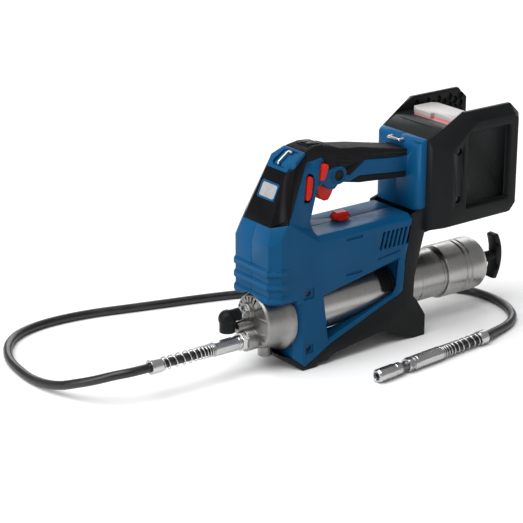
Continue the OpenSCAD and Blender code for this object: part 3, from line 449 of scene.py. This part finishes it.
def slab(name, outline, thickness, place, round_width=0.0, segments=2):
    """A flat outline of (x, y) raised along Z of place, with rounded edges."""
    bm = bmesh.new()
    base = [bm.verts.new(place @ Vector((x, y, 0))) for x, y in outline]
    top = [bm.verts.new(place @ Vector((x, y, thickness))) for x, y in outline]
    bm.faces.new(base)
    bm.faces.new(top)
    n = len(outline)
    for i in range(n):
        bm.faces.new((base[i], base[(i + 1) % n], top[(i + 1) % n], top[i]))
    piece = solid(bm, name)
    if round_width:
        round_edges(piece, round_width, segments)
    return piece


def rectangle(w, h, corner=0.0):
    points = [(-w / 2, -h / 2), (w / 2, -h / 2), (w / 2, h / 2), (-w / 2, h / 2)]
    return [tuple(p) for p in round_corners(points, corner, True, 4)] if corner else points


def joined(name, pieces):
    """Several meshes as one object."""
    bm = bmesh.new()
    for piece in pieces:
        bm.from_mesh(piece.data)
        bpy.data.objects.remove(piece)
    return solid(bm, name)


TREES = {}


def hit(node, point, direction):
    """Where a ray from the point first meets a CAD node: the place and the outward normal."""
    if node not in TREES:
        TREES[node] = surface_tree(frame["nodes"][node].data)
    place, normal, _, _ = TREES[node].ray_cast(Vector(point), Vector(direction))
    if place is None:
        raise ValueError(f"the ray from {point} misses {node}")
    if normal.dot(direction) > 0:
        normal = -normal
    return place, normal


def facing(place, normal, along=UP):
    """A frame at a place with Z along the normal and X as near as it can be to the given direction."""
    z = normal.normalized()
    x = (along - z * along.dot(z)).normalized()
    turn = Matrix((x, z.cross(x), z)).transposed().to_4x4()
    return Matrix.Translation(place) @ turn


# ---------- hose, guards and fittings ----------
# The hose's route in the gun's own frame, in metres, as in the CAD source
ROUTE = [
    (-0.038, 0, 0.0365), (-0.078, 0, 0.0365), (-0.119, 0, 0.0365), (-0.140, 0.001, 0.0365),
    (-0.157, 0.009, 0.034), (-0.172, 0.025, 0.027), (-0.183, 0.043, 0.020), (-0.191, 0.064, 0.0125),
    (-0.196, 0.088, 0.0075), (-0.198, 0.116, 0.005), (-0.196, 0.146, 0.005), (-0.191, 0.171, 0.005),
    (-0.182, 0.193, 0.005), (-0.169, 0.213, 0.005), (-0.151, 0.229, 0.005), (-0.128, 0.239, 0.005),
    (-0.103, 0.243, 0.005), (-0.072, 0.242, 0.005), (-0.038, 0.236, 0.005), (0, 0.225, 0.005),
    (0.042, 0.213, 0.005), (0.084, 0.201, 0.005), (0.126, 0.187, 0.005), (0.175, 0.166, 0.005),
    (0.225, 0.140, 0.005), (0.272, 0.111, 0.005), (0.314, 0.081, 0.005), (0.346, 0.052, 0.005),
    (0.364, 0.025, 0.005), (0.369, -0.002, 0.005), (0.367, -0.026, 0.005), (0.360, -0.047, 0.005),
    (0.348, -0.065, 0.005), (0.331, -0.078, 0.005), (0.312, -0.086, 0.0055), (0.293, -0.092, 0.0068),
    (0.272, -0.098, 0.0082), (0.235, -0.101, 0.0082), (0.197, -0.104, 0.0082)]
HOSE_D = 10 * MM
OUTLET_Z = ROUTE[0][2]
FERRULE_R = 8.2 * MM
WIRE_R = 0.7 * MM
GUARD_R = FERRULE_R - 0.6 * MM - WIRE_R
# Coil pitches of a guard from its collar to its ferrule, as shares of its length
GUARD_PITCHES = (4, 8.3, 10, 9.5, 7.4, 6.6, 5.2, 4.4, 4, 3.2, 2.4, 1.8)


def catmull(p, q, r, s, t):
    return 0.5 * (2 * q + (r - p) * t + (2 * p - 5 * q + 4 * r - s) * t * t
                  + (3 * q - p - 3 * r + s) * t ** 3)


def smooth_path(points, steps):
    last = len(points) - 1
    path = [catmull(points[max(i - 1, 0)], points[i], points[i + 1], points[min(i + 2, last)], k / steps)
            for i in range(last) for k in range(steps)]
    return path + [points[-1]]


def make_hose():
    path = smooth_path([at(*p) for p in ROUTE], 6)
    data = bpy.data.curves.new("hose", "CURVE")
    data.dimensions = "3D"
    spline = data.splines.new("POLY")
    spline.points.add(len(path) - 1)
    for point, place in zip(spline.points, path):
        point.co = (*place, 1)
    spline.use_smooth = True
    data.bevel_depth = HOSE_D / 2
    data.bevel_resolution = 6
    data.use_fill_caps = True
    return dress(link(data, "hose_line"), "root", "hose_rubber", "hose")


def guard(name, start, end, place):
    """A spring guard from its collar to its ferrule, along X of place, open in the middle."""
    total = sum(GUARD_PITCHES)
    span = end - start
    steps = 22
    path = []
    x = start
    for pitch in GUARD_PITCHES:
        for k in range(steps):
            angle = 2 * pi * k / steps
            along = x + span * pitch / total * k / steps
            path.append(place @ Vector((along, GUARD_R * cos(angle), GUARD_R * sin(angle))))
        x += span * pitch / total
    path.append(place @ Vector((end, GUARD_R, 0)))
    return tube(name, path, WIRE_R, 8)


def crimped(start, end):
    """Scale of a ferrule's radius: eight pressed flats between its round ends."""
    def share(x, angle):
        inner = min(x - start, end - x) / (3 * MM)
        depth = max(0.0, min(1.0, inner))
        face = (angle + pi / 8) % (pi / 4) - pi / 8
        return 1 - depth * (1 - min(1, 0.955 / cos(face)))
    return share


def ferrule(name, start, end, place):
    """A crimped ferrule along X of place, with a narrow turned groove near its inner end."""
    r, wall = FERRULE_R, 2.6 * MM
    groove, half, depth = end - 4 * MM, 0.6 * MM, 0.9 * MM
    outline = [(start, r - wall), (start, r), (groove - half, r), (groove, r - depth),
               (groove + half, r), (end, r), (end, r - wall)]
    points = round_corners(outline, 0.5 * MM)
    body = []
    for a, b in zip(points, points[1:]):
        pieces = max(1, int((b - a).length / (2 * MM)))
        body += [a.lerp(b, k / pieces) for k in range(pieces)]
    body.append(points[-1])
    low, high = min(start, end), max(start, end)
    return lathe(name, body, place, 96, shape=crimped(low + 0.5 * MM, high - 6 * MM))


def collar(name, start, end, place):
    r, bore = FERRULE_R, HOSE_D / 2 + 0.25 * MM
    outline = [(start, bore), (start, r), (end, r), (end, bore)]
    return lathe(name, round_corners(outline, 0.7 * MM, True), place, 64, True)


def hexagon(name, start, end, across, place):
    """A hexagon along X of place with its corners turned off at both ends."""
    r = across / 3 ** 0.5
    chamfer = 0.9 * MM

    def share(x, angle):
        face = (angle % (pi / 3)) - pi / 6
        flat = cos(pi / 6) / cos(face)
        near = min(x - start, end - x)
        turned = (r - max(0, chamfer - near) * 1.2) / r
        return min(flat, turned)
    stations = [start, start + 0.3 * MM, start + 0.6 * MM, start + chamfer, end - chamfer,
                end - 0.6 * MM, end - 0.3 * MM, end]
    return lathe(name, [(x, r) for x in stations], place, 72, shape=share)


def make_hose_ends():
    near = Matrix.Translation(at(0, 0, OUTLET_Z))
    tip, before = at(*ROUTE[-1]), at(*ROUTE[-3])
    run = tip - before
    far = Matrix.Translation(tip) @ Matrix.Rotation(atan2(run.y, run.x), 4, "Z")
    reach = run.length
    pieces = [
        dress(ferrule("near_ferrule_crimped", -38 * MM, -2 * MM, near), "root", "bright_steel",
              "near_ferrule"),
        dress(guard("near_guard_wire", -105 * MM, -38 * MM, near), "root", "spring_wire", "near_guard"),
        dress(collar("near_collar_ring", -119 * MM, -105 * MM, near), "root", "bright_steel",
              "near_collar"),
        dress(guard("far_guard_wire", 11 * MM - reach, 0, far), "root", "spring_wire", "far_guard"),
        dress(collar("far_collar_ring", -reach, 11 * MM - reach, far), "root", "bright_steel"),
        dress(ferrule("far_ferrule_crimped", 0, 43 * MM, far), "root", "bright_steel", "far_fitting"),
        dress(far_hex(far), "root", "bright_steel"),
        dress(far_neck(far), "root", "dark_steel"),
        dress(coupler(far), "root", "bright_steel", "coupler"),
        dress(coupler_jaws(far), "root", "dark_steel")]


def far_hex(place):
    """The swivel hexagon with a washer face on each side."""
    body = hexagon("hex_body", 44 * MM, 51 * MM, 14.2 * MM, place)
    faces = [lathe("hex_washer", round_corners([(x, 5 * MM), (x, 7.4 * MM), (x + 1.2 * MM, 7.4 * MM),
                                                (x + 1.2 * MM, 5 * MM)], 0.3 * MM), place, 48)
             for x in (42.9 * MM, 50.9 * MM)]
    return joined("far_hexagon", [body] + faces)


def far_neck(place):
    outline = [(51.5 * MM, 4 * MM), (51.5 * MM, 5.4 * MM), (53.5 * MM, 5.4 * MM), (54.5 * MM, 4.6 * MM),
               (58 * MM, 4.6 * MM), (59 * MM, 5.4 * MM), (62.5 * MM, 5.4 * MM), (62.5 * MM, 4 * MM)]
    return lathe("far_neck_turned", round_corners(outline, 0.3 * MM), place, 48)


def coupler(place):
    """The coupler's sleeve: a knurled ring at its root and a chamfered mouth."""
    outline = [(62 * MM, 4 * MM), (62 * MM, 6.2 * MM), (63 * MM, 7 * MM), (69 * MM, 7 * MM),
               (69.8 * MM, 6.3 * MM), (71 * MM, 6.3 * MM), (71.8 * MM, 7.6 * MM), (94.6 * MM, 7.6 * MM),
               (97 * MM, 5.9 * MM), (97 * MM, 4.6 * MM), (93 * MM, 3.9 * MM), (90 * MM, 3.9 * MM),
               (90 * MM, 0.6 * MM)]

    def knurl(x, angle):
        if 63.6 * MM < x < 68.6 * MM:
            return 1 - 0.018 * (sin(30 * angle) > 0)
        return 1
    points = round_corners(outline, 0.35 * MM)
    root = [Vector((63.4 * MM + k * 0.66 * MM, 7 * MM)) for k in range(9)]
    body = [p for p in points if p.x < 63.3 * MM] + root + [p for p in points if p.x >= 68.8 * MM]
    return lathe("coupler_sleeve", body, place, 120, shape=knurl)


def coupler_jaws(place):
    """Four jaws inside the mouth that grip a nipple."""
    jaws = []
    for k in range(4):
        bm = bmesh.new()
        inner, outer = 2.4 * MM, 3.75 * MM
        steps = 6
        rows = []
        for x, cut in ((91 * MM, 0), (95.6 * MM, 0), (96.4 * MM, 0.5 * MM)):
            row = []
            for r in (inner + cut, outer - cut / 2):
                for i in range(steps + 1):
                    angle = radians(90 * k + 7 + 76 * i / steps)
                    row.append(bm.verts.new(place @ Vector((x, r * cos(angle), r * sin(angle)))))
            rows.append(row)
        m = steps + 1
        ring = list(range(m)) + list(range(2 * m - 1, m - 1, -1))
        for a, b in zip(rows, rows[1:]):
            for i in range(len(ring)):
                p, q = ring[i], ring[(i + 1) % len(ring)]
                bm.faces.new((a[p], a[q], b[q], b[p]))
        for row in (rows[0], rows[-1]):
            bm.faces.new([row[i] for i in ring])
        jaws.append(solid(bm, "jaw"))
    return joined("coupler_jaws", jaws)


make_camera()
hose = make_hose()
make_hose_ends()


# ---------- shells with rounded edges ----------
WING_IN = 46 * MM


def in_honeycomb(p):
    return abs(p.y) < WING_IN


def make_shells():
    for node, width, segments in (
            ("housing_left", 0.9, 2), ("housing_right", 0.9, 2), ("front_panel", 0.7, 2),
            ("top_cap", 0.8, 2), ("grip_cover", 1.6, 3), ("lower_frame", 0.9, 2), ("rear_bay", 1.2, 2),
            ("lamp_bezel", 0.6, 2), ("keypad", 0.5, 2), ("trigger", 1.2, 3), ("lock_off_bolt", 0.8, 2),
            ("side_slider", 0.7, 2), ("pull_handle", 1.8, 3), ("barrel_band", 0.5, 2),
            ("pump_head", 0.5, 2), ("bleeder_valve", 0.4, 2), ("outlet_nut", 0.5, 2),
            ("battery_case", 1.5, 3), ("battery_button", 0.6, 2), ("housing_screws", 0.25, 2)):
        rounded(node, width * MM, segments)
    for node in ("bumper_left", "bumper_right"):
        rounded(node, 1.4 * MM, 3, fine=in_honeycomb)


def carry_over():
    """Every CAD node that still shows takes its slot's material."""
    for name, node in frame["nodes"].items():
        node.data.materials.clear()
        node.data.materials.append(MATERIALS[NODE_SLOT[name]])


# ---------- small parts and mould detail ----------
def tilted(x, y, z, turn):
    """A frame at a point of the gun, turned about Y by degrees."""
    return Matrix.Translation(at(x * MM, y * MM, z * MM)) @ Matrix.Rotation(radians(turn), 4, "Y")


def scaled(points):
    return [tuple(c * MM for c in p) for p in points]


# The cap's and the lamp face's frames (x, y, z in mm, turn in degrees) and the lock button's x, z
ON_CAP = (61.5, 0, 233.4, -35.5)
ON_FACE = (37.5, 0, 202.5, 25.86)
LOCK_PLACE = (121, 208)


def make_cap_detail():
    """The tray sunk in the top cap and the bent strap bar over it."""
    cap = tilted(*ON_CAP)
    tray = [(-12.4, -9), (-9.7, -12.4), (9.2, -12.4), (11.4, -9), (11.4, 9), (9.2, 12.4), (-9.7, 12.4),
            (-12.4, 9)]
    dress(slab("cap_tray", scaled(tray), 2.4 * MM, cap @ Matrix.Translation((0, 0, -2.6 * MM))),
          "root", "blue_shell")
    bar = [(-9.6, 2, -1), (-9.6, 2, 1.2), (-9, 2, 2.6), (-7.4, 2, 3.3), (0, 2, 3.3), (5.6, 2, 3.3),
           (7.4, 1.7, 3), (8.4, 0.8, 2.2), (8.8, -0.6, 1), (8.8, -1.4, -1)]
    path = smooth_path([cap @ Vector(p) for p in scaled(bar)], 5)
    dress(tube("front_strap_bar_bent", path, 1.45 * MM, 16), "root", "bright_steel", "front_strap_bar")
    feet = [lathe("foot", round_corners(scaled([(-0.4, 0.3), (-0.4, 2.6), (0.7, 2.6), (1.2, 1.6)]), 0.3 * MM),
                  cap @ Matrix.Translation(Vector(p) * MM) @ Matrix.Rotation(-pi / 2, 4, "Y"), 24)
            for p in ((-9.6, 2, 0), (8.8, -1.3, 0))]
    dress(joined("strap_bar_feet", feet), "root", "black_shell")


def make_lamp_detail():
    """A lens with rounded edges and two ringed domes moulded on its face, over the lights."""
    face = tilted(*ON_FACE) @ Matrix.Rotation(-pi / 2, 4, "Y")
    lens = slab("lamp_lens_moulded", rectangle(15.8 * MM, 25.8 * MM, 2.6 * MM), 1.3 * MM,
                face @ Matrix.Translation((0, 0, -1.1 * MM)), 0.5 * MM, 3)
    dress(lens, "root", "clear_lens", "lamp_lens")
    optics = []
    for z in (-3.6, 3.6):
        place = face @ Matrix.Translation((z * MM, 0, 0.1 * MM)) @ Matrix.Rotation(-pi / 2, 4, "Y")
        ring = scaled([(0, 2.5), (0.35, 2.7), (0.35, 3.1), (0, 3.3), (-0.2, 3.3), (-0.2, 2.5)])
        dome = scaled([(-0.2, 1.9), (0, 1.85), (0.25, 1.5), (0.42, 1), (0.5, 0.3)])
        optics += [lathe("ring", ring, place, 32, True), lathe("dome", dome, place, 32)]
    dress(joined("lamp_optics", optics), "root", "clear_lens")


def make_lock_detail():
    """The lock button's dished ends and the stepped bosses round them."""
    x, z = LOCK_PLACE
    ends = [(-18.2, 5.2), (-17.7, 5.9), (17.7, 5.9), (18.2, 5.2)]
    left = [(-17, 1.4), (-17.1, 2.8), (-17.7, 4.1)]
    outline = scaled(left + ends + [(-a, r) for a, r in reversed(left)])
    across = Matrix.Translation(at(x * MM, 0, z * MM)) @ Matrix.Rotation(pi / 2, 4, "Z")
    dress(lathe("lock_button_dished", round_corners(outline, 0.3 * MM), across, 48), "lock_button",
          "black_shell", "lock_button")
    bosses = []
    for side, node in ((-1, "housing_left"), (1, "housing_right")):
        start = at((x - 8) * MM, side * 60 * MM, z * MM)
        depth = abs(hit(node, start, (0, -side, 0))[0].y) / MM
        ring = [(depth - 1, 6.3), (depth - 1, 10.1), (depth + 0.5, 10.1), (depth + 0.9, 9.7),
                (depth + 0.9, 8.7), (depth + 0.4, 8.4), (depth + 0.4, 7.7), (depth + 1.1, 7.4),
                (depth + 1.1, 6.6), (depth + 0.8, 6.3)]
        place = Matrix.Translation(at(x * MM, 0, z * MM)) @ Matrix.Rotation(side * pi / 2, 4, "Z")
        bosses.append(lathe("boss", scaled(ring), place, 56, True))
    dress(joined("lock_bosses", bosses), "root", "blue_shell")


def rib(node, start, end, toward, radius, steps=12, sunk=0.45):
    """A rounded rib along a CAD surface between two points of the gun, in mm, found along a direction."""
    path = []
    for k in range(steps + 1):
        p = Vector(start).lerp(Vector(end), k / steps) * MM
        place, normal = hit(node, at(*p) - Vector(toward) * 0.1, toward)
        path.append(place - normal * radius * sunk)

    def taper(t):
        return radius * max(0.3, min(1, 6 * t, 6 * (1 - t)))
    bm = bmesh.new()
    tube_rings(bm, path, taper, 10)
    return solid(bm, "rib", 50)


def make_ribs():
    """Ribs on both sides of the grip, the slider and the lock bolt, and the seam over the bay."""
    left, right, down = (0, 1, 0), (0, -1, 0), (0, 0, -1)
    grip = []
    for toward in (left, right):
        for k in range(3):
            front, rear = -4.2 * k, -3.1 * k
            grip.append(rib("grip_cover", (113, 0, 233 + front), (141, 0, 226 + front), toward, 1.1 * MM))
            grip.append(rib("grip_cover", (157 + k, 0, 229 + rear), (188, 0, 226 + rear), toward,
                            0.9 * MM))
    dress(joined("grip_ribs", grip), "root", "soft_grip")
    foot, head = Vector((70.2, 0, 195.6)), Vector((75.8, 0, 212.6))
    axis = (head - foot).normalized()
    wide = Vector((axis.z, 0, -axis.x)) * 2
    ribs = []
    for k in range(7):
        p = foot.lerp(head, k / 6)
        ribs.append(rib("side_slider", p - wide, p + wide, left, 1.0 * MM, 6, 0.2))
    dress(joined("slider_ribs", ribs), "side_slider", "red_plastic")
    bolt = [rib("lock_off_bolt", (93.2 + 1.4 * k, 0, 212 + 3 * k), (97 + 1.4 * k, 0, 211 + 3 * k), toward,
                0.7 * MM, 6) for k in range(4) for toward in (left, right)]
    dress(joined("lock_off_ribs", bolt), "lock_off", "red_plastic")
    seam = [rib("rear_bay", (247, -34, 250), (247, 34, 250), down, 0.6 * MM, 20, 0.3)]
    dress(joined("bay_seam", seam), "root", "black_shell")


def make_keypad_detail():
    """Two keys and a row of three small windows on the keypad."""
    marks = []
    for x, y, w, h in ((89, -4.4, 7, 5.6), (89, 4.4, 7, 5.6), (97.4, -5, 2.4, 2.6), (97.4, 0, 2.4, 2.6),
                       (97.4, 5, 2.4, 2.6)):
        place, normal = hit("keypad", at(x * MM, y * MM, 0.3), (0, 0, -1))
        frame_here = facing(place - normal * 0.2 * MM, normal, Vector((1, 0, 0)))
        marks.append(slab("key", rectangle(w * MM, h * MM, 0.8 * MM), 0.55 * MM, frame_here, 0.15 * MM))
    dress(joined("keypad_keys", marks), "root", "gloss_panel")


make_cap_detail()
make_lamp_detail()
make_lock_detail()
make_ribs()
make_keypad_detail()
make_shells()
carry_over()


# ---------- floor and light ----------
FLOOR_HALF = 30
WORLD_STRENGTH = 0.35
SUN_STRENGTH = 2.5
SUN_SPREAD = radians(50)
SUN_RAY = Vector((0.35, 0.05, -0.93))
LIGHT_TARGET = (0, 0, 0.1)


def softbox(name, place, target, size, power):
    data = bpy.data.lights.new(name, "AREA")
    data.shape = "RECTANGLE"
    data.size, data.size_y = size
    data.energy = power
    light = bpy.data.objects.new(name, data)
    bpy.context.scene.collection.objects.link(light)
    light.location = place
    light.rotation_euler = (Vector(target) - Vector(place)).to_track_quat("-Z", "Y").to_euler()


def make_studio():
    bm = bmesh.new()
    bmesh.ops.create_grid(bm, x_segments=1, y_segments=1, size=FLOOR_HALF)
    mesh = bpy.data.meshes.new("floor")
    bm.to_mesh(mesh)
    bm.free()
    floor = link(mesh, "floor")
    material, tree, shader, place = node_tree("floor")
    cloud = noise(tree, place, 3, 2)
    tree.links.new(mix(tree, spread(tree, cloud, 0, 1), (0.93, 0.93, 0.93), (0.91, 0.91, 0.91)),
                   shader.inputs["Base Color"])
    shader.inputs["Roughness"].default_value = 0.9
    shader.inputs["Specular IOR Level"].default_value = 0.1
    floor.data.materials.append(material)
    world = bpy.data.worlds.new("studio")
    world.use_nodes = True
    world.node_tree.nodes["Background"].inputs["Color"].default_value = (1, 1, 1, 1)
    world.node_tree.nodes["Background"].inputs["Strength"].default_value = WORLD_STRENGTH
    bpy.context.scene.world = world
    bpy.context.scene.view_settings.view_transform = "Standard"
    data = bpy.data.lights.new("overhead", "SUN")
    data.energy = SUN_STRENGTH
    data.angle = SUN_SPREAD
    light = bpy.data.objects.new("overhead", data)
    bpy.context.scene.collection.objects.link(light)
    light.rotation_euler = SUN_RAY.to_track_quat("-Z", "Y").to_euler()
    softbox("back", (1.5, 2.1, 1.3), LIGHT_TARGET, (2.6, 1.2), 26)
    softbox("left", (-2.2, 0.3, 1.1), LIGHT_TARGET, (1.0, 1.4), 20)


make_studio()
